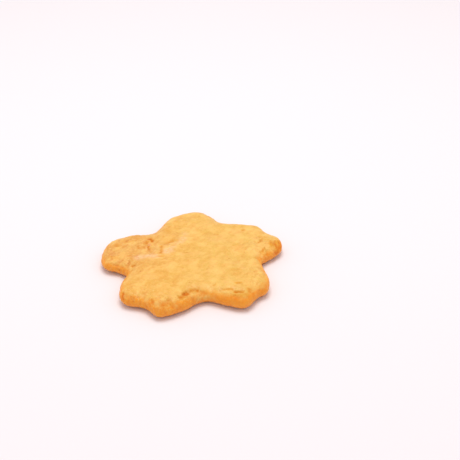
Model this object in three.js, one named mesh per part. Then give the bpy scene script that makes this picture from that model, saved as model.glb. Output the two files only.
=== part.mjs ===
import * as THREE from 'three';

// A thin blossom-shaped rice cracker lying on its underside. Millimetres, +Z up, the far petal along +Y,
// and the origin under the middle of the cracker, on the face it rests on.

// Driving dimensions.
const MIDDLE_THICKNESS = 5.4; // where the dough has puffed most
const PUFFED_RADIUS = 6; // from the middle to where the thickness starts to change towards a petal's own
const WAIST = 0.42; // height of the widest line of the edge, as a share of the thickness there
const UPPER_EDGE = { width: 4.2, fullness: 2.05 }; // width in from the outline; fullness 2 is an ellipse
const LOWER_EDGE = { width: 2.4, fullness: 2.1 };
const REST_RADIUS = 13; // of the flat patch in the middle of the underside
const PETAL_REACH = 30; // from the middle to the longest tip, where a petal is wholly itself
const PETAL_BLEND = 3; // how quickly one petal's sizes give way to the next one's, by bearing

// Five petals, counter-clockwise from the right, each with its bearing in degrees, its own thickness and
// how far its tip curls up off the table. Each place on the outline is a bearing and a distance from the
// middle: the valley before the petal, its rising flank, its tips with any cleft between them, and its
// falling flank.
const PETALS = [
  {
    bearing: 31,
    thickness: 4.0,
    lift: 0.4,
    valley: [353, 21.6],
    rise: [[358, 21.6], [13, 28.4]],
    tips: [[24, 30.0], [34, 28.4], [44, 28.6]],
    fall: [[51, 26.9]],
  },
  {
    bearing: 92,
    thickness: 4.4,
    lift: 0.3,
    valley: [68, 23.6],
    rise: [[77, 26.5]],
    tips: [[88, 29.2]],
    fall: [[107, 26.3], [126, 20.5]],
  },
  {
    bearing: 170,
    thickness: 3.4,
    lift: 0.6,
    valley: [132, 20.2],
    rise: [[144, 24.2]],
    tips: [[158, 28.1], [179, 28.1]],
    fall: [[188, 26.7], [194, 22.6]],
  },
  {
    bearing: 241,
    thickness: 5.0,
    lift: 0.2,
    valley: [203, 21.1],
    rise: [[216, 25.8]],
    tips: [[229, 30.0], [242, 28.1], [253, 30.6]],
    fall: [[265, 26.6]],
  },
  {
    bearing: 314,
    thickness: 5.3,
    lift: 0.3,
    valley: [282, 21.5],
    rise: [[296, 26.4]],
    tips: [[304, 29.7], [317, 27.9], [323, 28.5]],
    fall: [[332, 26.6]],
  },
];

// Marks on the glazed face, each a line of points in plan with its half width. A positive height stands
// up from the face and a negative one sinks into it.
const FOLDS = [
  // the soft diagonal fold from the left petal towards the far one, and the hollow behind it
  { height: 0.35, width: 1.9, line: [[-16.6, -2.4], [-8.4, 1.6], [-5.9, 4.0], [-3.9, 7.2], [-2.0, 13.4]] },
  { height: -0.25, width: 2.2, line: [[-10.5, 5.5], [-6.8, 7.9], [-5.0, 11.5]] },
  // broad swellings of the left and far petals
  { height: 0.2, width: 3.6, line: [[-20.5, 1.0], [-17.0, 5.0]] },
  { height: 0.25, width: 4.0, line: [[2.0, 20.0], [5.5, 16.0]] },
];
const HOLLOWS = [
  // two browned dimples beside the fold
  { height: -0.45, width: 1.2, line: [[-13.4, 8.6], [-12.6, 8.0]] },
  { height: -0.3, width: 1.5, line: [[-7.6, 7.6], [-5.9, 8.2]] },
  // the deep crease at the near valley and the fine one on the near right petal
  { height: -0.5, width: 0.9, line: [[-2.7, -23.6], [-0.8, -21.4], [1.5, -19.9]] },
  { height: -0.35, width: 0.8, line: [[9.4, -20.3], [11.4, -20.8], [14.9, -21.3]] },
  // the ragged crack across the right petal
  { height: -0.4, width: 0.9, line: [[20.3, 13.2], [22.3, 8.4], [20.7, 5.4], [19.8, 2.2], [21.4, 0.2]] },
];
const LUMPS = [
  // the lip above the fine crease
  { height: 0.25, width: 1.3, line: [[8.8, -18.7], [11.7, -19.3], [15.6, -19.7]] },
  // crumbly lumps beside the crack
  { height: 0.3, width: 1.4, line: [[18.8, 4.4], [18.9, 6.4], [19.9, 8.6]] },
  { height: 0.3, width: 1.2, line: [[19.4, 0.9], [20.2, -0.1]] },
  // blisters along the near left edge
  { height: 0.5, width: 1.1, line: [[-11.3, -24.6], [-10.2, -25.8]] },
  { height: 0.5, width: 1.0, line: [[-8.5, -26.4], [-8.0, -26.5]] },
  { height: 0.4, width: 1.0, line: [[-6.4, -25.4], [-5.6, -25.6]] },
  // the lumpy tip of the near left petal
  { height: 0.4, width: 1.1, line: [[-19.4, -19.8], [-18.6, -21.4]] },
  { height: 0.3, width: 1.0, line: [[-17.4, -22.0], [-15.6, -22.8]] },
];

// Unevenness of the dough, as crossing waves: long swells over the whole face, and short ripples that
// die away at a distance from the outline. The underside, pressed on a tray, shows less of them.
const SWELL = { seed: 11, count: 14, longest: 17, shortest: 7, height: 0.12 };
const RIPPLE = { seed: 29, count: 18, longest: 5.5, shortest: 3.2, height: 0.12 };
const RIPPLE_REACH = 4.5;
const UNDERSIDE_RIPPLE = 0.35;

// The mesh: rings of points around the middle, ring k with SECTORS times k points.
const SECTORS = 6;
const FACE_RINGS = 19;
const EDGE_RINGS = 10;
const RINGS = FACE_RINGS + EDGE_RINGS;
const OUTLINE_STEPS = 360; // pieces of the outline that distances are measured to

function seededRandom(seed) {
  let state = seed;
  return () => {
    state = (state + 0x6d2b79f5) | 0;
    let mixed = Math.imul(state ^ (state >>> 15), 1 | state);
    mixed = (mixed + Math.imul(mixed ^ (mixed >>> 7), 61 | mixed)) ^ mixed;
    return ((mixed ^ (mixed >>> 14)) >>> 0) / 2 ** 32;
  };
}

// Crossing waves with seeded directions, lengths and phases, whose sum has about the stated height.
function waveField({ seed, count, longest, shortest, height }) {
  const random = seededRandom(seed);
  const waves = Array.from({ length: count }, () => {
    const direction = random() * Math.PI;
    const turns = (2 * Math.PI) / (shortest * (longest / shortest) ** random());
    const phase = random() * 2 * Math.PI;
    return (x, y) => Math.sin(turns * (x * Math.cos(direction) + y * Math.sin(direction)) + phase);
  });
  const scale = height * Math.sqrt(2 / count);
  return (x, y) => scale * waves.reduce((sum, wave) => sum + wave(x, y), 0);
}

function smoothStep(from, to, value) {
  return THREE.MathUtils.smoothstep(value, from, to);
}

function outlineCurve() {
  const places = PETALS.flatMap(({ valley, rise, tips, fall }) => [valley, ...rise, ...tips, ...fall]);
  const points = places.map(([bearing, distance]) => {
    const angle = THREE.MathUtils.degToRad(bearing);
    return new THREE.Vector3(distance * Math.cos(angle), distance * Math.sin(angle), 0);
  });
  return new THREE.CatmullRomCurve3(points, true, 'centripetal');
}

function distanceToSegment(x, y, [startX, startY], [endX, endY]) {
  const alongX = endX - startX;
  const alongY = endY - startY;
  const share = ((x - startX) * alongX + (y - startY) * alongY) / (alongX ** 2 + alongY ** 2);
  const held = THREE.MathUtils.clamp(share, 0, 1);
  return Math.hypot(x - startX - held * alongX, y - startY - held * alongY);
}

function distanceToLine(x, y, line) {
  const distances = line.slice(1).map((end, i) => distanceToSegment(x, y, line[i], end));
  return Math.min(...distances);
}

// How far from the waist the surface has come, from 0 at the outline to 1 where the edge ends.
function edgeRise(inset, { width, fullness }) {
  const left = Math.max(0, 1 - inset / width);
  return (1 - left ** fullness) ** (1 / fullness);
}

// A size of the petals at a place in plan, blended from one petal to the next by bearing.
function petalSize(key, x, y) {
  const here = Math.atan2(y, x);
  const shares = PETALS.map(({ bearing }) => {
    const apart = here - THREE.MathUtils.degToRad(bearing);
    return Math.exp(PETAL_BLEND * Math.cos(apart));
  });
  const total = shares.reduce((sum, share) => sum + share, 0);
  return PETALS.reduce((sum, petal, i) => sum + (petal[key] * shares[i]) / total, 0);
}

function curlAt(x, y) {
  return petalSize('lift', x, y) * smoothStep(REST_RADIUS, PETAL_REACH, Math.hypot(x, y));
}

function thicknessAt(x, y) {
  const outward = smoothStep(PUFFED_RADIUS, PETAL_REACH, Math.hypot(x, y));
  return THREE.MathUtils.lerp(MIDDLE_THICKNESS, petalSize('thickness', x, y), outward);
}

function markHeight(x, y) {
  const marks = [...FOLDS, ...HOLLOWS, ...LUMPS];
  return marks.reduce((sum, { height, width, line }) => {
    const share = distanceToLine(x, y, line) / width;
    return sum + height * Math.exp(-(share ** 2));
  }, 0);
}

// Ring sizes as shares of the outline: even over the face, crowding together round the edge.
function ringShares(meanRadius) {
  const edgeShare = UPPER_EDGE.width / meanRadius;
  const face = Array.from({ length: FACE_RINGS }, (_, i) => ((i + 1) / FACE_RINGS) * (1 - edgeShare));
  const edge = Array.from({ length: EDGE_RINGS }, (_, i) => {
    const turn = ((i + 1) / EDGE_RINGS) * (Math.PI / 2);
    return 1 - edgeShare * (1 - Math.sin(turn));
  });
  return [...face, ...edge];
}

// Points in plan with their distance in from the outline: the middle, then smaller copies of the outline.
function planPoints() {
  const curve = outlineCurve();
  const outline = curve.getSpacedPoints(OUTLINE_STEPS).map(({ x, y }) => [x, y]);
  const meanRadius = outline.reduce((sum, [x, y]) => sum + Math.hypot(x, y), 0) / outline.length;
  const points = [{ x: 0, y: 0, inset: distanceToLine(0, 0, outline) }];
  ringShares(meanRadius).forEach((share, ring) => {
    const count = SECTORS * (ring + 1);
    for (let i = 0; i < count; i += 1) {
      const { x, y } = curve.getPointAt(i / count).multiplyScalar(share);
      points.push({ x, y, inset: share === 1 ? 0 : distanceToLine(x, y, outline) });
    }
  });
  return points;
}

// Heights of the glazed face, the waist of the edge and the underside over each point in plan.
function heightsOver(points) {
  const swell = waveField(SWELL);
  const ripple = waveField(RIPPLE);
  return points.map(({ x, y, inset }) => {
    const edgeRipple = ripple(x, y) * (1 - smoothStep(0, RIPPLE_REACH, inset));
    const relief = markHeight(x, y) + swell(x, y) + edgeRipple;
    const thickness = thicknessAt(x, y);
    const waist = WAIST * thickness;
    const face = waist + edgeRise(inset, UPPER_EDGE) * (thickness - waist + relief);
    const underside = waist * (1 - edgeRise(inset, LOWER_EDGE)) + UNDERSIDE_RIPPLE * edgeRipple;
    const curl = curlAt(x, y);
    return { face: face + curl, waist: waist + curl, underside: Math.max(0, underside + curl) };
  });
}

// Triangles of a disc of rings, facing +Z: in each sector, ring k is joined to ring k + 1.
function discTriangles() {
  const firstOf = (ring) => (ring === 0 ? 0 : 1 + (SECTORS * ring * (ring - 1)) / 2);
  const pointAt = (ring, step) => (ring === 0 ? 0 : firstOf(ring) + (step % (SECTORS * ring)));
  const triangles = [];
  for (let ring = 0; ring < RINGS; ring += 1) {
    for (let step = 0; step < SECTORS * (ring + 1); step += 1) {
      const sector = Math.floor(step / (ring + 1));
      const inner = pointAt(ring, step - sector);
      const outer = pointAt(ring + 1, step);
      const outerNext = pointAt(ring + 1, step + 1);
      triangles.push([inner, outer, outerNext]);
      const isLastOfSector = step === (sector + 1) * (ring + 1) - 1;
      if (!isLastOfSector) {
        triangles.push([inner, outerNext, pointAt(ring, step - sector + 1)]);
      }
    }
  }
  return triangles;
}

// Two discs, the glazed face and the underside, which share the points of the outline.
function crackerGeometry() {
  const points = planPoints();
  const heights = heightsOver(points);
  const outlineStart = points.length - SECTORS * RINGS;
  const isOutline = (i) => i >= outlineStart;
  const upper = points.flatMap(({ x, y }, i) => [x, y, isOutline(i) ? heights[i].waist : heights[i].face]);
  const lower = points.slice(0, outlineStart).flatMap(({ x, y }, i) => [x, y, heights[i].underside]);
  const below = (i) => (isOutline(i) ? i : i + points.length);
  const index = discTriangles().flatMap(([a, b, c]) => [a, b, c, below(a), below(c), below(b)]);
  const geometry = new THREE.BufferGeometry();
  geometry.setAttribute('position', new THREE.Float32BufferAttribute([...upper, ...lower], 3));
  geometry.setIndex(index);
  geometry.computeBoundingBox();
  const middle = geometry.boundingBox.getCenter(new THREE.Vector3());
  geometry.translate(-middle.x, -middle.y, 0);
  geometry.computeVertexNormals();
  return geometry;
}

function buildCracker() {
  const glazedDough = new THREE.MeshStandardMaterial({ color: 0xf4bc66, roughness: 0.5, metalness: 0 });
  const cracker = new THREE.Mesh(crackerGeometry(), glazedDough);
  cracker.name = 'cracker';
  return cracker;
}

const part = new THREE.Group();
part.name = 'blossom_rice_cracker';
part.add(buildCracker());

export default part;
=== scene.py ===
# %% [markdown]
# # A blossom-shaped rice cracker
# The real thing is one thin piece of rice dough: pounded rice, rolled flat, cut with a petal cutter,
# dried, and then baked until it puffs. A thin glaze leaves a satin skin with shallow wrinkles, small
# pits where bubbles burst, and toasted edges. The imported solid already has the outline, the thickness
# of each petal and the large folds. This lesson gives it a fine skin, a finish, a floor and light.

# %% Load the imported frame
import math

import bmesh
import bpy
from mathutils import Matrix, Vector
from mathutils.bvhtree import BVHTree


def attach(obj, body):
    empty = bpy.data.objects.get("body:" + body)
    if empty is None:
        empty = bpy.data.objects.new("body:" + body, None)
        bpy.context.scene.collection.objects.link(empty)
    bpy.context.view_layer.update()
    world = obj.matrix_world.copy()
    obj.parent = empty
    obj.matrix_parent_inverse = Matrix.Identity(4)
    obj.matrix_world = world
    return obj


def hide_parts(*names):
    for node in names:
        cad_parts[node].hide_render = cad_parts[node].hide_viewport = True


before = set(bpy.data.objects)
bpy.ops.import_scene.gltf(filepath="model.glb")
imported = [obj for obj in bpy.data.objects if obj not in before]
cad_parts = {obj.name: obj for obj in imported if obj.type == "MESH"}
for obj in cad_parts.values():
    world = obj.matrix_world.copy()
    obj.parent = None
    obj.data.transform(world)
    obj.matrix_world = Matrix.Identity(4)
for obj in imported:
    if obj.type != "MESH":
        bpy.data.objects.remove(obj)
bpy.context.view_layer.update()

MM = 0.001

# %% [markdown]
# ## Two small helpers
# Hex colours are what a paint program shows, in the sRGB curve. Shaders count light, so they need
# linear values, and one function turns the one into the other. The second function adds a node to any
# tree, with its settings, and fills or links its sockets in order or by name. The same trees could be
# clicked together in the node editor, but a script can be read from top to bottom and run again.

# %% Colour and node helpers
def linear(hex_colour):
    """An sRGB hex colour as linear red, green and blue, with full alpha."""
    parts = [int(hex_colour[i:i + 2], 16) / 255 for i in (1, 3, 5)]
    lit = [part / 12.92 if part <= 0.04045 else ((part + 0.055) / 1.055) ** 2.4 for part in parts]
    return (*lit, 1.0)


def add_node(tree, kind, inputs=(), **settings):
    """Adds a node, sets it, fills or links its inputs, and returns its first output in use."""
    node = tree.nodes.new(kind)
    for name, value in settings.items():
        setattr(node, name, value)
    sockets = [socket for socket in node.inputs if socket.enabled]
    pairs = inputs.items() if isinstance(inputs, dict) else enumerate(inputs)
    for key, value in pairs:
        named = (socket for socket in sockets if socket.name == key)
        socket = sockets[key] if isinstance(key, int) else next(named)
        if isinstance(value, bpy.types.NodeSocket):
            tree.links.new(value, socket)
        else:
            socket.default_value = value
    return next(socket for socket in node.outputs if socket.enabled)


print("the screen's middle grey, #808080, is", round(linear("#808080")[0], 2), "of full light")

# %% [markdown]
# ## The camera
# The cracker lies on a table and is seen from the front, 30 degrees above the table. A short lens from
# close by would swell the near petals. A long lens from farther away keeps the near and far petals at
# nearly the same scale, so this is what is used.

# %% Camera
DEGREES_ABOVE_TABLE = 30
CAMERA_PLACE = (0.01173, -0.30193, 0.18764)
LONG_LENS = 90
NEAREST_SEEN = 10 * MM

camera = bpy.data.objects.new("camera", bpy.data.cameras.new("camera"))
bpy.context.scene.collection.objects.link(camera)
camera.location = CAMERA_PLACE
camera.rotation_euler = (math.radians(90 - DEGREES_ABOVE_TABLE), 0, 0)
camera.data.lens = LONG_LENS
camera.data.clip_start = NEAREST_SEEN
bpy.context.scene.camera = camera
print("camera:", DEGREES_ABOVE_TABLE, "degrees above the table, with a lens of", LONG_LENS, "mm")

# %% [markdown]
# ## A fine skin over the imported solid
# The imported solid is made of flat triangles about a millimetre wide. Wrinkles and pits need a much
# finer mesh. One way is to subdivide, but that keeps the uneven triangles of the solid. Here one
# level of Subdivision Surface first rounds the flat triangles, and a voxel remesh then gives small
# even squares, a quarter of a millimetre wide, which any relief can push about freely.

# %% Copy, merge, round and remesh
VOXEL = 0.25 * MM
SAME_CORNER = 0.001 * MM


def plain_mesh(thing, name):
    """The object's mesh with its modifiers worked in."""
    graph = bpy.context.evaluated_depsgraph_get()
    mesh = bpy.data.meshes.new_from_object(thing.evaluated_get(graph))
    mesh.name = name
    return mesh


def merged_copy(node, name):
    """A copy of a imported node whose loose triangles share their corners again."""
    bm = bmesh.new()
    bm.from_mesh(node.data)
    bmesh.ops.remove_doubles(bm, verts=bm.verts, dist=SAME_CORNER)
    mesh = bpy.data.meshes.new(name)
    bm.to_mesh(mesh)
    bm.free()
    copy = bpy.data.objects.new(name, mesh)
    bpy.context.scene.collection.objects.link(copy)
    return copy


skin = merged_copy(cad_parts["cracker"], "cracker_skin")
rounding = skin.modifiers.new("rounding", "SUBSURF")
rounding.levels = rounding.render_levels = 1
even = skin.modifiers.new("even_squares", "REMESH")
even.mode = "VOXEL"
even.voxel_size = VOXEL
fine = plain_mesh(skin, "cracker_skin")
skin.modifiers.clear()
skin.data = fine
print("skin:", len(fine.vertices), "points,", len(fine.polygons), "faces")

# %% [markdown]
# ## Where the marks are
# Some marks of this cracker are not random: the torn crease where two near petals meet, a fine crease
# under a lip, a ragged crack across the right petal, toasted dimples on the left petal with painted
# shade in them, blisters on the edge of the near left one, and a painted sheen of the glaze along the
# fold.
# They could be sculpted and painted by hand, but a list of places is easier to read and to change. Each
# mark is a line of places in plan, in mm, that is dropped onto the skin and then filled with points
# close together. A point carries how strong its mark is and how far it reaches, and Geometry Nodes read
# both from the nearest point.

# %% [markdown]
# ### Grooves and blisters
# A groove is where the dough tore as it dried and puffed. A blister is a bubble that lifted the skin
# and did not burst. Both move the skin, so their strength is a height in mm: below zero the mark sinks
# in, and above zero it stands out. A random relief could not put them where this cracker has them.

# %% Grooves: height, reach and places, all in mm
GROOVES = [
    (-0.20, 0.70, [(-3.0, -24.0), (-2.3, -23.5)]),
    (-0.18, 0.55, [(-2.2, -23.4), (-1.7, -22.7)]),
    (-0.28, 0.80, [(-1.5, -22.4), (-0.8, -21.7)]),
    (-0.20, 0.42, [(-0.2, -20.9), (0.5, -20.2), (1.0, -20.0)]),
    (-0.24, 0.55, [(1.6, -19.9), (2.3, -20.0)]),
    (-0.12, 0.40, [(3.3, -20.2), (4.6, -20.6)]),
    (-0.16, 0.35, [(10.0, -20.2), (11.1, -20.3), (12.3, -20.6)]),
    (-0.24, 0.40, [(13.0, -21.3), (14.3, -21.6), (15.4, -21.5)]),
    (-0.10, 0.25, [(13.5, -20.3)]),
    (-0.16, 0.40, [(17.3, -20.0)]),
    (-0.18, 0.28, [(17.1, -23.0)]),
    (-0.12, 0.32, [(22.3, 15.0), (22.5, 13.2)]),
    (-0.12, 0.30, [(21.7, 9.9), (21.3, 8.8), (20.8, 7.3)]),
    (-0.08, 0.28, [(19.9, 11.6)]),
    (-0.10, 0.28, [(19.8, 5.4)]),
    (-0.20, 0.30, [(22.4, 3.8), (21.9, 2.8), (21.2, 1.8)]),
    (-0.12, 0.28, [(24.2, 8.4), (24.8, 7.6), (24.5, 6.5)]),
    (-0.22, 0.42, [(25.9, 7.2), (26.2, 6.0)]),
    (-0.16, 0.35, [(26.8, 8.8), (27.2, 7.4)]),
    (-0.16, 0.40, [(26.4, 4.5), (25.6, 3.4)]),
    (-0.30, 0.45, [(-13.3, 9.2), (-12.7, 8.6), (-12.6, 7.6)]),
    (-0.18, 0.40, [(-14.2, 7.0), (-14.2, 6.0)]),
    (-0.18, 0.30, [(-13.4, 4.6), (-13.5, 2.4)]),
    (-0.12, 0.30, [(-14.9, 3.9)]),
    (-0.18, 0.32, [(-9.7, 4.6), (-9.5, 3.6)]),
    (-0.14, 0.30, [(-9.4, 1.2), (-9.4, -0.2)]),
    (-0.10, 0.28, [(-12.5, 0.6)]),
    (-0.12, 0.25, [(-9.9, -2.2), (-8.7, -2.2)]),
    (-0.12, 0.60, [(-7.3, 6.9), (-6.3, 6.5)]),
    (-0.12, 0.35, [(-6.1, 8.2)]),
    (-0.12, 0.30, [(-16.8, 4.3), (-16.6, 3.6)]),
    (-0.10, 0.30, [(-20.3, 5.8)]),
    (-0.10, 0.28, [(-18.9, -1.2)]),
    (-0.20, 0.45, [(-19.5, -20.8), (-19.4, -22.4)]),
    (-0.16, 0.40, [(15.9, 14.9)]),
    (-0.16, 0.35, [(14.1, -17.6), (14.5, -17.5)]),
    (-0.12, 0.40, [(7.1, -18.1)]),
    (-0.12, 0.28, [(5.1, 3.0)]),
    (-0.12, 0.28, [(0.5, 7.3)]),
    (-0.10, 0.28, [(7.9, 13.7)]),
    (-0.16, 0.32, [(-24.4, -0.7)]),
    (-0.14, 0.35, [(-23.7, 8.3)]),
    (-0.12, 0.35, [(-18.5, 10.2), (-17.2, 9.4)]),
    (-0.16, 0.32, [(-17.8, -6.7), (-17.0, -6.5)]),
    (-0.12, 0.30, [(-14.9, -5.8)]),
    (-0.10, 0.30, [(-13.5, -15.3)]),
    (-0.10, 0.30, [(-9.0, -19.3)]),
    (-0.10, 0.30, [(0.6, -16.6)]),
]
print(len(GROOVES), "grooves")

# %% Blisters: height, reach and places, all in mm
BLISTERS = [
    (0.22, 1.00, [(-11.3, -24.7)]),
    (0.22, 0.85, [(-9.7, -26.1)]),
    (0.20, 0.90, [(-8.0, -26.9)]),
    (0.22, 0.80, [(-6.6, -25.6)]),
    (0.15, 0.70, [(-5.0, -25.2)]),
    (0.16, 0.70, [(-3.9, -23.4)]),
    (0.18, 0.70, [(0.4, -22.6)]),
    (0.18, 0.80, [(1.9, -21.8)]),
    (0.16, 0.80, [(-20.2, -19.4)]),
    (0.16, 0.70, [(-17.6, -21.2)]),
    (0.16, 0.70, [(-16.2, -23.0)]),
    (0.15, 0.60, [(-14.3, 8.0)]),
    (0.14, 0.60, [(-14.2, 6.2), (-13.7, 6.6)]),
    (0.16, 0.55, [(-24.2, -3.6)]),
    (0.16, 0.60, [(-22.9, -3.2)]),
    (0.16, 0.50, [(-21.9, -3.6)]),
    (0.14, 0.50, [(-20.6, -3.9)]),
    (0.16, 0.60, [(18.9, 4.8), (18.9, 6.2)]),
    (0.14, 0.60, [(19.0, 1.4)]),
    (0.14, 0.60, [(22.4, 4.6)]),
    (0.14, 0.50, [(24.8, 7.0)]),
]
print(len(BLISTERS), "blisters")

# %% [markdown]
# ### Patches
# A patch has no height of its own. Its strength is a share, where 1 is the full effect, and it says
# where a colour or the crumb is stronger. Sheen patches are a painted highlight of the glaze along the
# fold. Starchy patches are places that stayed light and floury, and two of them paint light onto the
# wall of the near valley, which faces down. Baked patches are spots and streaks that the oven turned
# orange, and some of them also paint shade, as at the tip of the right petal. In a rough patch the skin
# broke up into crumb, and the roughest goes past 1. Noise alone would scatter all of these evenly, and a
# real cracker is never even.

# %% Sheen patches, a painted highlight along the fold: strength, then reach and places in mm
SHEEN_PATCHES = [
    (0.8, 1.3, [(-16.4, -2.8), (-14.4, -2.0)]),
    (0.75, 1.4, [(-13.0, -1.8), (-11.0, -2.2)]),
    (0.8, 0.6, [(-13.3, 5.7)]),
    (0.5, 0.6, [(-13.9, 3.4)]),
    (0.75, 1.6, [(-8.0, 0.4), (-6.9, 1.6)]),
    (0.55, 1.3, [(-6.0, 3.2)]),
    (0.45, 1.2, [(-4.6, 5.0)]),
    (0.9, 1.1, [(-3.4, 6.2), (-2.6, 8.0)]),
    (0.35, 1.2, [(-2.4, 10.4), (-2.6, 12.8)]),
    (0.3, 0.9, [(0.2, -21.9)]),
]
print(len(SHEEN_PATCHES), "pale patches")

# %% Starchy patches: strength, then reach and places in mm
STARCHY_PATCHES = [
    (0.8, 1.8, [(12.4, 14.0)]),
    (0.6, 2.4, [(9.6, 11.4)]),
    (1.0, 2.2, [(7.9, -10.8)]),
    (0.5, 1.6, [(0.7, 0.0)]),
    (0.7, 1.4, [(4.0, -18.2), (8.0, -18.6)]),
    (0.5, 2.4, [(-23.8, 3.2)]),
    (1.0, 0.6, [(11.4, -19.6), (12.8, -19.8)]),
    (0.9, 0.5, [(14.4, -20.5)]),
    (0.9, 0.7, [(-15.3, -21.4)]),
    (1.0, 0.8, [(-9.4, -27.1), (-8.9, -27.4)]),
    (1.0, 0.8, [(-12.3, -24.3)]),
    (0.7, 0.7, [(-7.6, -26.2), (-7.2, -26.8)]),
    (1.0, 0.9, [(-4.9, -25.6), (-3.9, -24.6)]),
    (0.6, 0.9, [(-3.7, -26.7)]),
    (0.6, 0.8, [(-14.4, -22.8), (-12.7, -22.9)]),
    (0.4, 1.4, [(-11.1, -19.4), (-12.8, -20.2)]),
    (0.5, 0.8, [(0.6, -22.6), (1.6, -22.2)]),
    # Painted light: this row and the next make the down-facing wall of the near valley lighter.
    (0.8, 1.2, [(2.8, -22.0), (5.0, -21.3)]),
    (0.4, 0.9, [(7.0, -21.5)]),
    (0.5, 0.8, [(21.2, -16.9), (21.1, -17.7)]),
    (0.4, 2.2, [(4.6, 7.8), (8.0, 6.8)]),
    (0.5, 1.8, [(1.6, 10.5)]),
    (0.5, 1.8, [(-0.6, 17.5)]),
    (0.5, 1.8, [(15.0, 8.0)]),
    (0.4, 1.8, [(9.6, 3.2)]),
    (0.7, 0.6, [(-18.8, -22.3)]),
    (1.0, 1.1, [(20.3, 0.3), (19.7, 1.2)]),
    (1.0, 0.7, [(21.4, 0.5)]),
    (1.0, 1.1, [(20.5, 3.8), (21.4, 3.8)]),
    (1.0, 1.0, [(20.3, 5.3), (21.1, 6.4)]),
    (1.0, 0.7, [(23.1, 6.0), (23.2, 4.2)]),
    (0.5, 0.6, [(25.4, 9.0)]),
    (0.9, 0.7, [(19.1, -15.1)]),
    (0.9, 0.7, [(20.0, -13.4)]),
    (0.8, 0.8, [(20.6, -11.2), (20.0, -9.2)]),
    (0.9, 0.7, [(20.0, -17.2)]),
    (0.5, 0.7, [(-24.3, -2.9), (-23.4, -3.0)]),
    (0.4, 0.5, [(-22.4, -3.7)]),
    (0.7, 0.6, [(-20.6, -3.2), (-19.9, -4.4), (-20.4, -5.0)]),
]
print(len(STARCHY_PATCHES), "starchy patches")

# %% Baked patches, partly painted shade: strength, then reach and places in mm
BAKED_AND_SHADED_PATCHES = [
    (1.0, 0.8, [(-2.4, -24.3), (-1.8, -23.7)]),
    (1.0, 0.8, [(-1.2, -22.6), (-0.5, -21.8)]),
    (0.8, 0.7, [(0.2, -20.5), (2.4, -20.0)]),
    (0.3, 1.2, [(-0.6, -23.6)]),
    (0.5, 0.7, [(3.0, -20.2), (4.6, -20.4)]),
    (0.6, 0.8, [(-10.4, -25.2), (-10.3, -26.0)]),
    (0.7, 0.9, [(-7.2, -28.0), (-6.4, -27.5)]),
    (0.8, 0.8, [(-8.9, -26.0)]),
    (0.6, 0.8, [(-8.9, -28.4)]),
    (0.5, 0.7, [(-5.6, -26.0)]),
    (0.9, 0.8, [(-5.3, -26.3), (-5.2, -26.8)]),
    (0.3, 0.7, [(-14.2, -21.4), (-13.2, -21.8)]),
    (0.4, 0.8, [(-17.9, -21.8), (-16.3, -21.2)]),
    (0.3, 1.2, [(-6.0, -20.6), (-4.2, -20.6)]),
    (0.3, 1.1, [(-7.4, -18.5)]),
    (0.8, 0.8, [(-19.6, -21.4), (-19.3, -22.6)]),
    (0.4, 1.1, [(-18.3, -17.0)]),
    (0.35, 2.6, [(-9.1, -12.6)]),
    (0.4, 1.8, [(-8.7, -20.0)]),
    (0.3, 2.4, [(-4.5, -17.0)]),
    (0.8, 1.4, [(12.4, -22.8), (15.2, -23.0), (16.8, -22.6)]),
    (0.4, 1.6, [(9.0, -22.6), (11.0, -22.9)]),
    (0.6, 1.4, [(18.4, -21.6)]),
    (0.3, 1.1, [(17.6, -18.2), (15.9, -19.0)]),
    (0.8, 0.5, [(10.0, -20.2), (12.3, -20.6)]),
    (0.4, 0.7, [(9.8, -21.6), (10.8, -21.9)]),
    (1.0, 0.6, [(13.0, -21.4), (15.4, -21.6)]),
    (0.8, 0.8, [(17.3, -20.0), (17.3, -21.2)]),
    (1.0, 0.8, [(13.8, -17.5), (14.6, -17.4)]),
    (0.7, 0.7, [(15.9, 14.9)]),
    (0.5, 0.8, [(7.1, -18.1)]),
    (0.3, 1.2, [(1.6, -11.5)]),
    (0.3, 1.0, [(1.3, 4.5)]),
    (0.45, 0.9, [(12.4, -9.9), (14.6, -9.8)]),
    (0.35, 1.2, [(13.2, -12.4), (14.6, -11.8)]),
    (0.7, 0.6, [(-17.8, -6.6), (-17.0, -6.4)]),
    (0.5, 0.6, [(-15.2, -5.6), (-14.6, -5.6)]),
    (0.7, 1.1, [(-23.4, 6.2)]),
    (0.7, 0.6, [(-24.4, -0.7)]),
    (0.5, 1.6, [(-23.2, -1.6), (-24.6, -0.8)]),
    (0.5, 0.8, [(-20.8, 7.6), (-17.4, 8.6)]),
    (0.6, 0.6, [(-16.8, 4.4), (-16.6, 3.4)]),
    (0.4, 0.5, [(-20.3, 5.8)]),
    (0.4, 0.5, [(-18.9, -1.2)]),
    (0.9, 0.7, [(-13.3, 9.0), (-12.6, 8.3), (-12.7, 7.2)]),
    (0.8, 0.9, [(-14.2, 7.2), (-14.3, 6.0)]),
    (0.6, 0.7, [(-15.0, 4.2), (-14.8, 3.4)]),
    (0.7, 0.5, [(-13.4, 4.6), (-13.4, 2.4)]),
    (0.7, 0.6, [(-9.7, 4.6), (-9.2, 2.2), (-9.4, -0.4)]),
    (0.5, 0.5, [(-10.1, -2.2), (-8.7, -2.2)]),
    (0.7, 1.2, [(-7.4, 6.9), (-6.2, 7.4)]),
    # The tip of the right petal: toasting, and painted shade where it lies in shade.
    (1.0, 1.6, [(27.2, 8.8), (27.2, 6.8), (26.4, 5.4)]),
    (1.0, 1.1, [(26.2, 8.2), (25.8, 6.6)]),
    (1.0, 1.0, [(24.5, 7.4), (24.9, 5.6)]),
    (0.5, 0.5, [(21.7, 9.9), (20.8, 7.3)]),
    (0.8, 0.5, [(22.4, 3.8), (21.9, 2.8), (21.2, 1.8)]),
    (0.3, 1.6, [(22.4, -16.0), (20.4, -19.2)]),
    (0.5, 1.2, [(-7.9, 13.6)]),
    (0.4, 1.4, [(-5.7, 20.1)]),
    (0.35, 1.6, [(13.3, 5.0)]),
]
print(len(BAKED_AND_SHADED_PATCHES), "baked patches")

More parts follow.
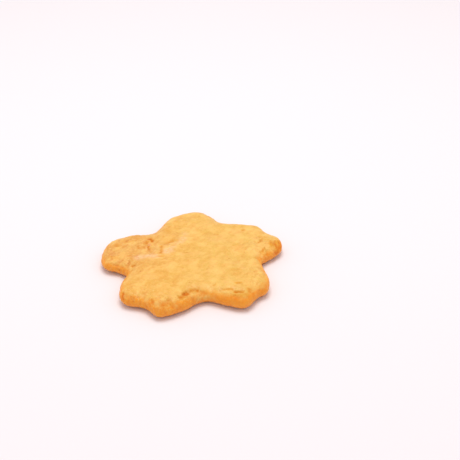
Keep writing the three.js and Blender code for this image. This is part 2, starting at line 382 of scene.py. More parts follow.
# %% Rough patches: strength, then reach and places in mm
ROUGH_PATCHES = [
    (1.0, 4.0, [(22.0, 8.0), (22.0, 2.6)]),
    (1.6, 2.2, [(26.2, 8.0), (25.6, 4.6)]),
    (0.7, 2.2, [(-17.5, -19.2), (-12.0, -21.4)]),
    (1.0, 3.0, [(-10.5, -25.6), (-5.5, -26.0)]),
    (0.8, 3.0, [(-10.0, -27.6), (-6.0, -28.4)]),
    (0.9, 2.5, [(-3.0, -24.4), (2.0, -21.6)]),
    (0.9, 2.5, [(-18.8, -21.4), (-15.0, -23.2)]),
    (0.8, 2.4, [(-14.0, 6.6)]),
    (0.7, 2.4, [(-24.0, -3.4), (-19.5, -4.2)]),
    (0.5, 1.8, [(7.0, -19.6), (16.5, -20.6)]),
    (0.8, 3.0, [(19.0, -16.6), (19.8, -9.6)]),
]
print(len(ROUGH_PATCHES), "rough patches")

# %% [markdown]
# ### Drop the marks onto the skin
# The lists say where a mark is in plan, but not how high the skin is there. A ray that is sent straight
# down finds that height, and a place just past the edge takes the nearest skin instead. The points
# between two places of a line are so close together that the mark has no gaps.

# %% Marks as lines of points on the skin
POINT_STEP = 0.12 * MM
WELL_ABOVE = 20 * MM
HALF_WAY_UP = 3 * MM

skin_tree = BVHTree.FromObject(skin, bpy.context.evaluated_depsgraph_get())


def dropped(x, y):
    """The place on the skin straight below (x, y) mm, or the nearest one if none is."""
    place = skin_tree.ray_cast(Vector((x * MM, y * MM, WELL_ABOVE)), Vector((0, 0, -1)))[0]
    return place or skin_tree.find_nearest(Vector((x * MM, y * MM, HALF_WAY_UP)))[0]


def filled_line(places):
    """Places on the skin along the line, a point step apart."""
    corners = [dropped(x, y) for x, y in places]
    filled = [corners[0]]
    for start, end in zip(corners, corners[1:]):
        steps = max(1, math.ceil((end - start).length / POINT_STEP))
        filled += [start.lerp(end, (i + 1) / steps) for i in range(steps)]
    return filled


def marks_object(name, marks):
    """A mesh of loose points, each with the strength and the reach of its mark."""
    rows = []
    for strength, reach, line in marks:
        rows += [(place, strength, reach * MM) for place in filled_line(line)]
    mesh = bpy.data.meshes.new(name)
    mesh.from_pydata([row[0] for row in rows], [], [])
    for column, key in ((1, "strength"), (2, "reach")):
        values = [row[column] for row in rows]
        mesh.attributes.new(key, "FLOAT", "POINT").data.foreach_set("value", values)
    thing = bpy.data.objects.new(name, mesh)
    bpy.context.scene.collection.objects.link(thing)
    print(name, len(rows), "points")
    return thing


MARKS = {
    "Grooves": GROOVES, "Blisters": BLISTERS, "Pale patches": SHEEN_PATCHES,
    "Starchy patches": STARCHY_PATCHES, "Baked patches": BAKED_AND_SHADED_PATCHES, "Rough patches": ROUGH_PATCHES,
}
mark_objects = {name: marks_object(name.replace(" ", "_"), marks) for name, marks in MARKS.items()}

# %% [markdown]
# ## The relief, in Geometry Nodes
# Relief on a baked skin follows rules: waves everywhere, crumb near the edge, pits scattered at
# random, grooves along known lines. Sculpting would give one cracker and no way to change it later.
# Rules suit Geometry Nodes, where each has a named size, the random ones have a seed, and one can be
# changed without touching the others. Heights are added up as one number, and the last step pushes
# every point along its own normal by that sum.

# %% The tree and its named inputs
relief = bpy.data.node_groups.new("baked_relief", "GeometryNodeTree")
SIZES = {
    "Swell size": 4.5 * MM,
    "Swell height": 0.10 * MM,
    "Wrinkle size": 1.5 * MM,
    "Wrinkle height": 0.10 * MM,
    "Grain size": 0.8 * MM,
    "Grain height": 0.10 * MM,
    "Crumb size": 1.1 * MM,
    "Crumb height": 0.09 * MM,
    "Edge width": 2.6 * MM,
    "Pit reach": 0.28 * MM,
    "Pit depth": 0.12 * MM,
    "Pits per square metre": 60000.0,
}
relief.interface.new_socket("Geometry", in_out="INPUT", socket_type="NodeSocketGeometry")
for size in SIZES:
    relief.interface.new_socket(size, in_out="INPUT", socket_type="NodeSocketFloat")
relief.interface.new_socket("Seed", in_out="INPUT", socket_type="NodeSocketInt")
for name in MARKS:
    relief.interface.new_socket(name, in_out="INPUT", socket_type="NodeSocketObject")
relief.interface.new_socket("Material", in_out="INPUT", socket_type="NodeSocketMaterial")
relief.interface.new_socket("Geometry", in_out="OUTPUT", socket_type="NodeSocketGeometry")
given = relief.nodes.new("NodeGroupInput").outputs
print("relief inputs:", [socket.name for socket in given if socket.name])

# %% [markdown]
# ### First smooth, then find the edge
# A remeshed surface has faint steps, which a few rounds of blur on the positions remove. The edge of
# the cracker could be marked by hand, but it is simply wherever the skin stands upright. So the points
# whose normal is nearly level are kept apart, and the distance to the nearest of them tells every other
# point how far in from the edge it is.

# %% Smooth the skin and measure the distance to the edge
BLUR_ROUNDS = 6
NEARLY_LEVEL = 0.2

position = add_node(relief, "GeometryNodeInputPosition")
normal = add_node(relief, "GeometryNodeInputNormal")
blurred = add_node(
    relief, "GeometryNodeBlurAttribute", [position, BLUR_ROUNDS], data_type="FLOAT_VECTOR"
)
smooth = add_node(
    relief, "GeometryNodeSetPosition", {"Geometry": given["Geometry"], "Position": blurred}
)
facing = add_node(relief, "ShaderNodeSeparateXYZ", [normal]).node.outputs["Z"]
level = add_node(relief, "ShaderNodeMath", [facing], operation="ABSOLUTE")
upright = add_node(relief, "FunctionNodeCompare", [level, NEARLY_LEVEL], operation="LESS_THAN")
edge_band = add_node(relief, "GeometryNodeSeparateGeometry", [smooth, upright])
edge_points = add_node(relief, "GeometryNodeMeshToPoints", [edge_band])
edge_distance = add_node(
    relief, "GeometryNodeProximity", {"Geometry": edge_points}, target_element="POINTS"
).node.outputs["Distance"]
edge_share = add_node(
    relief, "ShaderNodeMapRange", [edge_distance, 0.0, given["Edge width"], 1.0, 0.0],
    interpolation_type="SMOOTHSTEP",
)
print("relief tree so far:", len(relief.nodes), "nodes")

# %% [markdown]
# ### Marks along known lines
# For every point of the skin, Sample Nearest finds the closest mark point, and Sample Index reads its
# place, strength and reach. A bell curve of the distance over the reach, times the strength, is what
# the mark does there. A straight groove would look ruled, so the place that is asked for is first
# shaken by a fine noise, which makes the lines ragged like real cracks. The same noise makes a groove
# deeper here and shallower there. Blisters and rough patches are soft and round, and aren't shaken.

# %% Shake the places that are asked for
SHAKE_SIZE = 1.3 * MM
SHAKE_DISTANCE = 1.2 * MM

shake = add_node(
    relief, "ShaderNodeTexNoise", {"Vector": position, "Scale": 1 / SHAKE_SIZE, "Detail": 2.0}
).node
shaken = add_node(
    relief, "ShaderNodeVectorMath", [shake.outputs["Color"], (0.5, 0.5, 0.5)], operation="SUBTRACT"
)
shaken = add_node(
    relief, "ShaderNodeVectorMath", {"Vector": shaken, "Scale": SHAKE_DISTANCE}, operation="SCALE"
)
asked = add_node(relief, "ShaderNodeVectorMath", [position, shaken], operation="ADD")
print("places are shaken by up to", round(SHAKE_DISTANCE / 2 / MM, 1), "mm each way")

# %% What each kind of mark does at every point
SHALLOWEST = 0.5
DEEPEST = 1.3


def bell_of(distance, reach):
    """A bell curve: 1 at the mark, about a third at its reach, and next to nothing at twice that."""
    share = add_node(relief, "ShaderNodeMath", [distance, reach], operation="DIVIDE")
    squared = add_node(relief, "ShaderNodeMath", [share, share], operation="MULTIPLY")
    falling = add_node(relief, "ShaderNodeMath", [squared, -1.0], operation="MULTIPLY")
    return add_node(relief, "ShaderNodeMath", [falling], operation="EXPONENT")


def mark_effect(marks, places):
    """Strength of the nearest mark times a bell curve of the distance to it."""
    points = add_node(relief, "GeometryNodeObjectInfo", [marks]).node.outputs["Geometry"]
    nearest = add_node(relief, "GeometryNodeSampleNearest", [points, places])
    read = {}
    for key in ("strength", "reach"):
        value = add_node(relief, "GeometryNodeInputNamedAttribute", [key], data_type="FLOAT")
        read[key] = add_node(relief, "GeometryNodeSampleIndex", [points, value, nearest])
    where = add_node(
        relief, "GeometryNodeSampleIndex", [points, position, nearest], data_type="FLOAT_VECTOR"
    )
    distance = add_node(relief, "ShaderNodeVectorMath", [where, places], operation="DISTANCE")
    bell = bell_of(distance, read["reach"])
    return add_node(relief, "ShaderNodeMath", [bell, read["strength"]], operation="MULTIPLY")


groove = mark_effect(given["Grooves"], asked)
torn = add_node(relief, "ShaderNodeMapRange", [shake.outputs["Fac"], 0.35, 0.6, SHALLOWEST, DEEPEST])
groove = add_node(relief, "ShaderNodeMath", [groove, torn], operation="MULTIPLY")
blister = mark_effect(given["Blisters"], position)
# Where a highlight of the glaze is painted along the fold.
pale = mark_effect(given["Pale patches"], asked)
starchy = mark_effect(given["Starchy patches"], asked)
# Where toasting goes, and in places painted shade.
baked = mark_effect(given["Baked patches"], asked)
rough = mark_effect(given["Rough patches"], position)
print("relief tree so far:", len(relief.nodes), "nodes")

# %% [markdown]
# ### Swells, wrinkles, grain and crumb
# One noise would give one size of bump, and baked skin has several, so four are added up, each at its
# real size. Swells are 4.5 mm wide. Wrinkles of 1.5 mm are drawn out along the fold and strongest on the
# left, where the skin was pulled. A grain of under a millimetre lies everywhere, and is strongest there
# and at the edge. Crumb, which is rounded lumps with sharp valleys between them, follows the edge and
# the rough patches. A noise of Blender's mostly lies between a quarter and three quarters, so it is
# spread out to lie between minus one and one.

# %% Swells and wrinkles
FOLD_BEARING = math.radians(55)
DRAWN_OUT = (0.3, 1.0, 1.0)
LEFT_PETAL = Vector((-22, 3, 5)) * MM
FULLY_PULLED_WITHIN = 8 * MM
PULLED_UP_TO = 22 * MM
WRINKLES_ELSEWHERE = 0.15
seed = given["Seed"]


def waves(size, height, salt, detail, where):
    """A noise of the given size, from about minus to plus its height; salt makes each one its own."""
    scale = add_node(relief, "ShaderNodeMath", [1.0, size], operation="DIVIDE")
    moment = add_node(relief, "ShaderNodeMath", [seed, salt], operation="ADD")
    noise = add_node(
        relief, "ShaderNodeTexNoise", {"Vector": where, "W": moment, "Scale": scale, "Detail": detail},
        noise_dimensions="4D",
    )
    centred = add_node(relief, "ShaderNodeMapRange", [noise, 0.25, 0.75, -1.0, 1.0], clamp=False)
    return add_node(relief, "ShaderNodeMath", [centred, height], operation="MULTIPLY")


along_fold = add_node(
    relief, "ShaderNodeVectorRotate", {"Vector": position, "Angle": -FOLD_BEARING},
    rotation_type="Z_AXIS",
)
drawn_out = add_node(relief, "ShaderNodeVectorMath", [along_fold, DRAWN_OUT], operation="MULTIPLY")
from_left = add_node(relief, "ShaderNodeVectorMath", [position, LEFT_PETAL], operation="DISTANCE")
pulled = add_node(
    relief, "ShaderNodeMapRange", [from_left, PULLED_UP_TO, FULLY_PULLED_WITHIN, 0.0, 1.0],
    interpolation_type="SMOOTHSTEP",
)
swells = waves(given["Swell size"], given["Swell height"], salt=0.0, detail=1.0, where=position)
wrinkles = waves(given["Wrinkle size"], given["Wrinkle height"], salt=11.3, detail=2.0, where=drawn_out)
wrinkle_share = add_node(relief, "ShaderNodeMapRange", [pulled, 0.0, 1.0, WRINKLES_ELSEWHERE, 1.0])
wrinkles = add_node(relief, "ShaderNodeMath", [wrinkles, wrinkle_share], operation="MULTIPLY")
print("relief tree so far:", len(relief.nodes), "nodes")

# %% Grain and crumb
GRAIN_ELSEWHERE = 0.4
CRUMB_AT_EDGE = 0.2
ROUNDED = 0.4

grain = waves(given["Grain size"], given["Grain height"], salt=23.9, detail=2.0, where=position)
grain_share = add_node(relief, "ShaderNodeMath", [pulled, edge_share], operation="MAXIMUM")
grain_share = add_node(relief, "ShaderNodeMapRange", [grain_share, 0.0, 1.0, GRAIN_ELSEWHERE, 1.0])
grain = add_node(relief, "ShaderNodeMath", [grain, grain_share], operation="MULTIPLY")

crumb_scale = add_node(relief, "ShaderNodeMath", [1.0, given["Crumb size"]], operation="DIVIDE")
crumb_cells = add_node(
    relief, "ShaderNodeTexVoronoi", {"Vector": asked, "Scale": crumb_scale, "Smoothness": ROUNDED},
    feature="SMOOTH_F1",
)
lumps = add_node(relief, "ShaderNodeMapRange", [crumb_cells, 0.15, 0.75, 1.0, -1.0])
crumb_share = add_node(relief, "ShaderNodeMath", [edge_share, CRUMB_AT_EDGE], operation="MULTIPLY")
crumb_share = add_node(relief, "ShaderNodeMath", [crumb_share, rough], operation="ADD")
crumb = add_node(relief, "ShaderNodeMath", [lumps, given["Crumb height"]], operation="MULTIPLY")
crumb = add_node(relief, "ShaderNodeMath", [crumb, crumb_share], operation="MULTIPLY")
print("relief tree so far:", len(relief.nodes), "nodes")

# %% [markdown]
# ### Pits
# Small bubbles near the surface burst in the oven and leave pits about half a millimetre across. They
# could be cut out of the mesh one by one, but a bell curve round scattered points sinks them all at
# once. Distribute Points on Faces scatters the points with a seed, and each takes its own share of the
# depth.

# %% Scatter the pits
SHALLOWEST_PIT = 0.2
PIT_LUCK_SEED = 5

pit_points = add_node(
    relief, "GeometryNodeDistributePointsOnFaces",
    {"Mesh": smooth, "Density": given["Pits per square metre"], "Seed": seed},
)
pit_nearest = add_node(relief, "GeometryNodeSampleNearest", [pit_points, position])
pit_luck = add_node(
    relief, "FunctionNodeRandomValue", {"Min": SHALLOWEST_PIT, "Max": 1.0, "Seed": PIT_LUCK_SEED}
)
pit_strength = add_node(relief, "GeometryNodeSampleIndex", [pit_points, pit_luck, pit_nearest])
pit_distance = add_node(
    relief, "GeometryNodeProximity", {"Geometry": pit_points}, target_element="POINTS"
).node.outputs["Distance"]
pit_bell = bell_of(pit_distance, given["Pit reach"])
pit = add_node(relief, "ShaderNodeMath", [pit_bell, pit_strength], operation="MULTIPLY")
print("relief tree so far:", len(relief.nodes), "nodes")

# %% [markdown]
# ### Add everything up
# Every kind of relief is a height now, so they can be added. The fine relief, which is wrinkles, grain,
# crumb and pits, is kept as a sum of its own, because the finish reads it later. Grooves and blisters
# are in mm, and are turned into metres before they are added.

# %% Add everything up
fine_relief = add_node(relief, "ShaderNodeMath", [wrinkles, grain], operation="ADD")
fine_relief = add_node(relief, "ShaderNodeMath", [fine_relief, crumb], operation="ADD")
pit_sink = add_node(relief, "ShaderNodeMath", [pit, given["Pit depth"]], operation="MULTIPLY")
fine_relief = add_node(relief, "ShaderNodeMath", [fine_relief, pit_sink], operation="SUBTRACT")
total = add_node(relief, "ShaderNodeMath", [groove, blister], operation="ADD")
total = add_node(relief, "ShaderNodeMath", [total, MM], operation="MULTIPLY")
for height in (swells, fine_relief):
    total = add_node(relief, "ShaderNodeMath", [total, height], operation="ADD")
print("relief tree so far:", len(relief.nodes), "nodes")

# %% [markdown]
# ### Push the skin, and remember what was done
# The finish needs to know where the grooves, the pits, the patches and the pulled side are, which way
# the skin faced before it was pushed, and how high the fine relief is. By these the dough browned or
# stretched differently, and by them the finish also paints bounce light where the skin faces down,
# shade in the low parts of the relief and highlights on the high parts. A second set of textures could
# try to match the relief, but storing each share on the points under a name can't miss. The underside
# lies on the table, so no point may end below it.

# %% Store the shares on the points
RELIEF_UNIT = 0.1 * MM

in_units = add_node(relief, "ShaderNodeMath", [fine_relief, RELIEF_UNIT], operation="DIVIDE")
shares = {
    "rough": rough, "pulled": pulled, "groove": groove, "pale": pale, "starchy": starchy,
    "baked": baked, "pit": pit, "facing": facing, "relief": in_units,
}
skin_now = smooth
for name, share in shares.items():
    skin_now = add_node(
        relief, "GeometryNodeStoreNamedAttribute", {"Geometry": skin_now, "Name": name, "Value": share},
        data_type="FLOAT", domain="POINT",
    )
print("stored on the skin:", ", ".join(shares))

# %% Move the points and end the tree
# The lowest that each coordinate may be: far out on the table for X and Y, and its top for Z.
TABLE_TOP = (-1.0, -1.0, 0.0)

push = add_node(relief, "ShaderNodeVectorMath", {"Vector": normal, "Scale": total}, operation="SCALE")
skin_now = add_node(relief, "GeometryNodeSetPosition", {"Geometry": skin_now, "Offset": push})
on_table = add_node(relief, "ShaderNodeVectorMath", [position, TABLE_TOP], operation="MAXIMUM")
skin_now = add_node(relief, "GeometryNodeSetPosition", {"Geometry": skin_now, "Position": on_table})
skin_now = add_node(relief, "GeometryNodeSetShadeSmooth", {"Geometry": skin_now})
skin_now = add_node(relief, "GeometryNodeRealizeInstances", {"Geometry": skin_now})
skin_now = add_node(
    relief, "GeometryNodeSetMaterial", {"Geometry": skin_now, "Material": given["Material"]}
)
relief.links.new(skin_now, relief.nodes.new("NodeGroupOutput").inputs[0])
print("relief tree:", len(relief.nodes), "nodes")

# %% [markdown]
# ## The finish: baked rice dough under a thin glaze
# Baked rice dough is a pale, slightly see-through starch that turns golden where it is thin or stands
# up to the heat. A brushed glaze gives it a satin skin: soft, wide highlights, never a mirror. To the
# eye that is a warm golden face, deeper orange round the edge, darker in the creases, and a fine mottle.
# Some light and shade are painted into that colour as well: warm bounce light on the edge and the
# underside, shade in the creases, the pits and the low parts of the relief, and highlights on the high
# parts and along the fold. Starch and sugar glaze have an index of refraction of about 1.45 to 1.5. The
# glaze is thin and full of pores, so it mirrors a little less than a closed film of the same stuff, and
# the specular level below is set lower for that. A painted image could hold all of this too, but a
# pattern made of nodes stays sharp from any distance and needs no file.

# %% Colours of the dough
GOLDEN = linear("#E2AE48")
YELLOWER = linear("#E1B552")
PEACHY = linear("#DFA84E")
# Toasted edge, made deeper orange also by painted warm bounce light.
TOASTED_AND_BOUNCE_LIT = linear("#F3A127")
# Painted bounce light: a lighter orange where the skin faces down.
BOUNCE_LIT_UNDERSIDE = linear("#F2A246")
# Starch colour, also used as a painted highlight on the high parts of the relief.
STARCH_AND_HIGHLIGHT = linear("#F0C56B")
# Painted sheen: the highlight of the glaze along the fold.
PAINTED_SHEEN = linear("#F6D0A2")

# Stains, and the shade that is painted like them, are multiplied into the colour under them, so a
# light one changes it only a little.
STAIN = linear("#F7E3C6")
# Painted shade: darker where the fine relief is low.
PAINTED_SHADE = linear("#F0D6B2")
# Toasting, and painted shade in some of the baked patches.
BAKED_AND_SHADE = linear("#F3D47E")
# Browning, and painted shade in grooves and pits.
BROWNED_AND_SHADE = linear("#F0CE7C")
print("golden dough in linear light:", [round(part, 2) for part in GOLDEN[:3]])

# %% [markdown]
# ### Shares, from the skin and from noise
# Every colour is laid on by a share between 0 and 1. One kind of share is read from the skin, where the
# relief stored it. The other is a noise at a real size in mm. Noise could follow a flat map of the skin,
# but a closed cracker would need seams for that. Object coordinates are metres on the cracker itself,
# so a spot keeps its place and its size from wherever it is seen.

# %% The material and its two kinds of share
# Baked dough under a brushed glaze: a golden, mottled, satin skin that lets a little light in.
glaze = bpy.data.materials.new("glazed_rice_dough")
glaze.use_nodes = True
shader = glaze.node_tree
shader.nodes.clear()
place = add_node(shader, "ShaderNodeTexCoord").node.outputs["Object"]


def share_of(name, low=0.0, high=1.0, most=1.0):
    """A value stored on the skin, spread so that low becomes 0 and high becomes most."""
    stored = add_node(shader, "ShaderNodeAttribute", attribute_name=name).node.outputs["Fac"]
    return add_node(shader, "ShaderNodeMapRange", [stored, low, high, 0.0, most])


def mottle(size_mm, low, high, most=1.0, detail=2.0, stretch=(1, 1, 1), turn=0.0):
    """A noise of a real size in mm, spread so that low becomes 0 and high becomes most."""
    turned = add_node(
        shader, "ShaderNodeMapping", {"Vector": place, "Rotation": (0, 0, turn), "Scale": stretch},
        vector_type="TEXTURE",
    )
    noise = add_node(
        shader, "ShaderNodeTexNoise", {"Vector": turned, "Scale": 1 / (size_mm * MM), "Detail": detail}
    )
    return add_node(shader, "ShaderNodeMapRange", [noise, low, high, 0.0, most])


print("patterns follow:", place.name, "coordinates, in metres")

# %% [markdown]
# ### Where the colours change
# The dough is a little yellower on the right. Toasting starts where the skin turns down, and a noise
# makes its border ragged; its colour is also made deeper orange by painted warm bounce light. Stains and
# painted shade are strongest on the pulled side, then in rough places and on the far half. Specks of
# flour and of scorching are strongest in rough places. Each of these could be painted on the points by
# hand, but a smooth ramp between two values is enough, and it has no brush marks.

# %% Yellower to the right, toasted and with painted bounce light where the skin turns down
GOLDEN_UP_TO_X = -12 * MM
YELLOWER_FROM_X = 10 * MM
GOLDEN_FACING = 0.98
TOASTED_FACING = 0.72

sides = add_node(shader, "ShaderNodeSeparateXYZ", [place]).node.outputs
right = add_node(
    shader, "ShaderNodeMapRange", [sides["X"], GOLDEN_UP_TO_X, YELLOWER_FROM_X, 0.0, 1.0],
    interpolation_type="SMOOTHSTEP",
)
facing_up = add_node(shader, "ShaderNodeAttribute", attribute_name="facing").node.outputs["Fac"]
ragged_by = mottle(1.6, 0.3, 0.7, most=0.12, detail=3.0)
ragged = add_node(shader, "ShaderNodeMath", [facing_up, ragged_by], operation="ADD")
turned_down = add_node(
    shader, "ShaderNodeMapRange", [ragged, GOLDEN_FACING, TOASTED_FACING, 0.0, 1.0]
)
print("finish so far:", len(shader.nodes), "nodes")

# %% How strong stains, painted shade and specks are
NEAR_Y = -12 * MM
FAR_Y = 14 * MM
STAIN_AND_SHADE_FAR_OFF = 0.6
STAIN_AND_SHADE_IF_ROUGH = 0.6
FAINTEST_STAIN_AND_SHADE = 0.45
FAINTEST_SPECK = 0.35
STRONGEST = 0.9

pulled_here = share_of("pulled")
stain_and_shade = add_node(
    shader, "ShaderNodeMapRange", [sides["Y"], NEAR_Y, FAR_Y, 0.0, STAIN_AND_SHADE_FAR_OFF],
    interpolation_type="SMOOTHSTEP",
)
for share in (pulled_here, share_of("rough", most=STAIN_AND_SHADE_IF_ROUGH)):
    stain_and_shade = add_node(shader, "ShaderNodeMath", [stain_and_shade, share], operation="MAXIMUM")
stain_and_shade = add_node(shader, "ShaderNodeMapRange", [stain_and_shade, 0.0, 1.0, FAINTEST_STAIN_AND_SHADE, STRONGEST])
dusted = add_node(
    shader, "ShaderNodeMapRange", [share_of("rough"), 0.0, 1.0, FAINTEST_SPECK, STRONGEST]
)
print("finish so far:", len(shader.nodes), "nodes")

# %% [markdown]
# ### Clouds, spots, specks and streaks
# These are the sizes that a baked skin shows: clouds of starch and of toasting 3 to 4 mm wide, spots of
# 1.6 mm, streaks of 1.5 mm that are drawn out along the fold, and fine specks of flour and scorching.
# Real specks are a tenth or two of a millimetre, which is too fine to show, so they are drawn about half
# a millimetre wide, as coarse as they need to show. One noise with more detail would mix all of these
# sizes, but then none of them could be made stronger alone.

# %% Noises at real sizes
starch_clouds = mottle(4.0, 0.45, 0.65, most=0.8, detail=3.0)
toasted_clouds = mottle(3.1, 0.5, 0.75, most=0.35, detail=3.0)
starch_spots = mottle(1.6, 0.5, 0.75, most=0.6, detail=3.0)
flour_specks = mottle(0.45, 0.5, 0.7, detail=1.0)
scorch_specks = mottle(0.55, 0.55, 0.75, detail=1.0)
streaks = mottle(1.5, 0.45, 0.7, detail=3.0, stretch=(2.4, 1, 1), turn=FOLD_BEARING)
print("finish so far:", len(shader.nodes), "nodes")

# %% [markdown]
# ### Layers of colour
# From the bottom up: golden dough, yellower on the right and peachier where it was pulled; toasting
# where the skin turns down, deepened by painted warm bounce light, and painted bounce light on the
# underside; clouds, specks and spots of starch and toasting; a painted highlight in starch colour on
# the high parts of the relief, and the starchy patches; stains in streaks, and painted shade in the low
# parts of the relief; the painted sheen along the fold; and last the baked patches and the brown of
# grooves and pits, each partly painted shade. MIX lays a colour on like paint and hides what is under
# it. MULTIPLY lays it on like a stain, so that dark marks keep the mottle under them.

# %% The two marks that are also bare of glaze
# Grooves: browning, and painted shade in them.
torn_share = share_of("groove", -0.02, -0.22)
# Baked patches hold toasting and, in places, painted shade.
baked_and_shaded_share = add_node(
    shader, "ShaderNodeMath", [share_of("baked", 0.05), mottle(1.0, 0.1, 0.42)], operation="MULTIPLY"
)
print("finish so far:", len(shader.nodes), "nodes")

# %% Lay the colours over each other, each by the product of its shares
layers = [
    (YELLOWER, "MIX", [right]),
    (PEACHY, "MIX", [pulled_here]),
    # Toasting, deepened by painted warm bounce light.
    (TOASTED_AND_BOUNCE_LIT, "MIX", [turned_down]),
    # Painted bounce light on the underside.
    (BOUNCE_LIT_UNDERSIDE, "MIX", [share_of("facing", 0.0, -0.6)]),
    (STARCH_AND_HIGHLIGHT, "MIX", [starch_clouds, share_of("facing", 0.4, 0.9)]),
    (STARCH_AND_HIGHLIGHT, "MIX", [flour_specks, dusted, share_of("facing", -0.2, 0.8)]),
    (BAKED_AND_SHADE, "MULTIPLY", [toasted_clouds]),
    (BAKED_AND_SHADE, "MULTIPLY", [scorch_specks, dusted, share_of("facing", -0.2, 0.8)]),
    (STARCH_AND_HIGHLIGHT, "MIX", [starch_spots, share_of("facing", 0.0, 0.9)]),
    # Painted highlight on the high parts of the relief.
    (STARCH_AND_HIGHLIGHT, "MIX", [share_of("relief", 0.3, 1.5, most=0.3)]),
    (STARCH_AND_HIGHLIGHT, "MIX", [share_of("starchy", 0.05, 0.9, most=0.8), mottle(0.9, 0.2, 0.5)]),
    (STAIN, "MULTIPLY", [streaks, stain_and_shade]),
    # Painted shade in the low parts of the relief.
    (PAINTED_SHADE, "MULTIPLY", [share_of("relief", 0.0, -1.2), stain_and_shade]),
    # Painted sheen along the fold.
    (PAINTED_SHEEN, "MIX", [share_of("pale", 0.1, most=0.8), mottle(1.1, 0.25, 0.55)]),
    # Baked patches: toasting and, in places, painted shade.
    (BAKED_AND_SHADE, "MULTIPLY", [baked_and_shaded_share]),
    # Browning and painted shade in grooves and pits.
    (BROWNED_AND_SHADE, "MULTIPLY", [torn_share]),
    (BROWNED_AND_SHADE, "MULTIPLY", [share_of("pit", 0.2, 0.9, most=0.6)]),
]
colour = GOLDEN
for over, way, where in layers:
    share = where[0]
    for other in where[1:]:
        share = add_node(shader, "ShaderNodeMath", [share, other], operation="MULTIPLY")
    mixed = {"Factor": share, "A": colour, "B": over}
    colour = add_node(shader, "ShaderNodeMix", mixed, data_type="RGBA", blend_type=way)
print(len(layers), "layers of colour over the golden dough")

# %% [markdown]
# ### Roughness, grain and shader
# The glaze is smoother where it lies thick and duller where it is thin, in soft patches of 2.5 mm.
# Cracks and baked spots are bare, so they are the roughest. The grain of the starch is about 0.4 mm,
# too fine for the mesh to carry, so it is a bump in the shader. A little light goes in and comes out
# again, red the farthest, which softens the edges of every mark. Values that are the same all over are
# set on the shader itself.

# %% How rough the glaze is
GLAZED_ROUGHNESS = 0.36
THIN_GLAZE_ROUGHNESS = 0.52
BARE_ROUGHNESS = 0.80

thin_glaze = mottle(2.5, 0.3, 0.7)
roughness = add_node(
    shader, "ShaderNodeMapRange", [thin_glaze, 0.0, 1.0, GLAZED_ROUGHNESS, THIN_GLAZE_ROUGHNESS]
)
unglazed = add_node(shader, "ShaderNodeMath", [torn_share, baked_and_shaded_share], operation="MAXIMUM")
roughness = add_node(shader, "ShaderNodeMapRange", [unglazed, 0.0, 1.0, roughness, BARE_ROUGHNESS])
print("roughness from", GLAZED_ROUGHNESS, "to", BARE_ROUGHNESS)

# %% Grain and shader
STARCH_GRAIN = 0.4 * MM
GRAIN_BUMP = 0.05 * MM
SUGAR_AND_STARCH = 1.45
PORES_IN_GLAZE = 0.4
SEE_THROUGH = 0.12
LIGHT_SPREAD = 0.5 * MM

starch = add_node(
    shader, "ShaderNodeTexNoise", {"Vector": place, "Scale": 1 / STARCH_GRAIN, "Detail": 3.0}
)
bump = add_node(shader, "ShaderNodeBump", {"Height": starch, "Strength": 0.5, "Distance": GRAIN_BUMP})
finish = {
    "Base Color": colour,
    "Roughness": roughness,
    "IOR": SUGAR_AND_STARCH,
    "Specular IOR Level": PORES_IN_GLAZE,
    "Normal": bump,
    "Subsurface Weight": SEE_THROUGH,
    "Subsurface Radius": (1.0, 0.5, 0.2),
    "Subsurface Scale": LIGHT_SPREAD,
}
surface = add_node(shader, "ShaderNodeBsdfPrincipled", finish)
shader.links.new(surface, shader.nodes.new("ShaderNodeOutputMaterial").inputs["Surface"])
print("finish:", len(shader.nodes), "nodes")

# %% [markdown]
# ## Run the relief and keep the result
# The tree could stay on the skin as a live modifier, but a plain mesh can be measured, exported and
# carried to another program. A modifier's inputs are set by the identifiers of their sockets. The
# evaluated object then gives the plain mesh, and the modifier and the loose mark points go.

# %% From modifier to plain mesh
SEED = 7

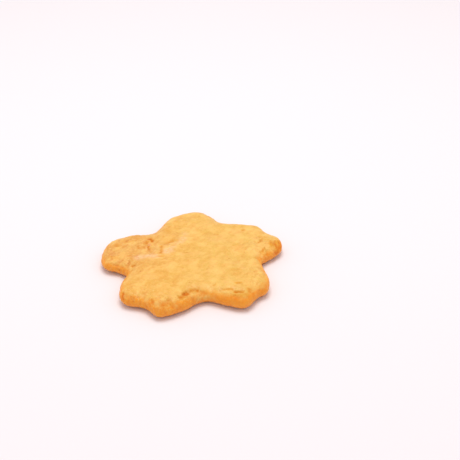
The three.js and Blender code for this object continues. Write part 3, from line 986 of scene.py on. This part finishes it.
modifier = skin.modifiers.new("baked_relief", "NODES")
modifier.node_group = relief
values = {**SIZES, **mark_objects, "Seed": SEED, "Material": glaze}
for socket in relief.interface.items_tree:
    if socket.in_out == "INPUT" and socket.name in values:
        modifier[socket.identifier] = values[socket.name]
relief_mesh = plain_mesh(skin, "cracker_relief")
skin.modifiers.clear()
skin.data = relief_mesh
for thing in mark_objects.values():
    bpy.data.objects.remove(thing)
triangles = sum(len(face.vertices) - 2 for face in relief_mesh.polygons)
print("relief:", len(relief_mesh.vertices), "points,", triangles, "triangles")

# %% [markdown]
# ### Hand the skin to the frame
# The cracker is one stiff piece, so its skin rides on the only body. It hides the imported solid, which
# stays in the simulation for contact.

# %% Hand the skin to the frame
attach(skin, "root")
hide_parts("cracker")
print(skin.name, "rides on root and stands for the packed cracker")

# %% [markdown]
# ## Floor and light
# Food is often shown on a white table in a white tent: light comes softly from everywhere, mostly
# from above and slightly behind, so shadows are short and faint. A few small lamps would give hard
# shadows and bright spots on the glaze. So one square area lamp is the bright roof of the tent, a little
# behind the cracker, and the world is its walls, very slightly pink so that the shadows are not grey.

# %% Floor
FLOOR_SIZE = 6
HAIR_BELOW = -0.02 * MM
MATT = 0.9

bpy.ops.mesh.primitive_plane_add(size=FLOOR_SIZE, location=(0, 0, HAIR_BELOW))
floor = bpy.context.object
floor.name = "table"
# Matt white paper scatters light evenly, so the eye sees a plain pale ground and no reflection.
paper = bpy.data.materials.new("matt_white_paper")
paper.use_nodes = True
paper_shader = paper.node_tree.nodes["Principled BSDF"]
paper_shader.inputs["Base Color"].default_value = linear("#ECEAEA")
paper_shader.inputs["Roughness"].default_value = MATT
floor.data.materials.append(paper)
print("floor:", FLOOR_SIZE, "m wide")

# %% Roof of the tent
ROOF_SIZE = 0.35
ROOF_POWER = 1.71
ROOF_PLACE = Vector((0.0, 0.1, 0.57))

roof = bpy.data.objects.new("tent_roof", bpy.data.lights.new("tent_roof", "AREA"))
bpy.context.scene.collection.objects.link(roof)
roof.data.shape = "SQUARE"
roof.data.size = ROOF_SIZE
roof.data.energy = ROOF_POWER
roof.location = ROOF_PLACE
roof.rotation_euler = ROOF_PLACE.to_track_quat("Z", "Y").to_euler()
print("roof:", ROOF_POWER, "W from", round(ROOF_PLACE.length, 2), "m away")

# %% Walls of the tent
WALL_STRENGTH = 0.80

world = bpy.data.worlds.new("tent_walls")
world.use_nodes = True
walls = world.node_tree.nodes["Background"]
walls.inputs["Color"].default_value = linear("#FFF4F8")
walls.inputs["Strength"].default_value = WALL_STRENGTH
bpy.context.scene.world = world
# The standard view shows colours as they are lit, where a film look would fade the orange.
bpy.context.scene.view_settings.view_transform = "Standard"
print("walls:", WALL_STRENGTH, "of full white")
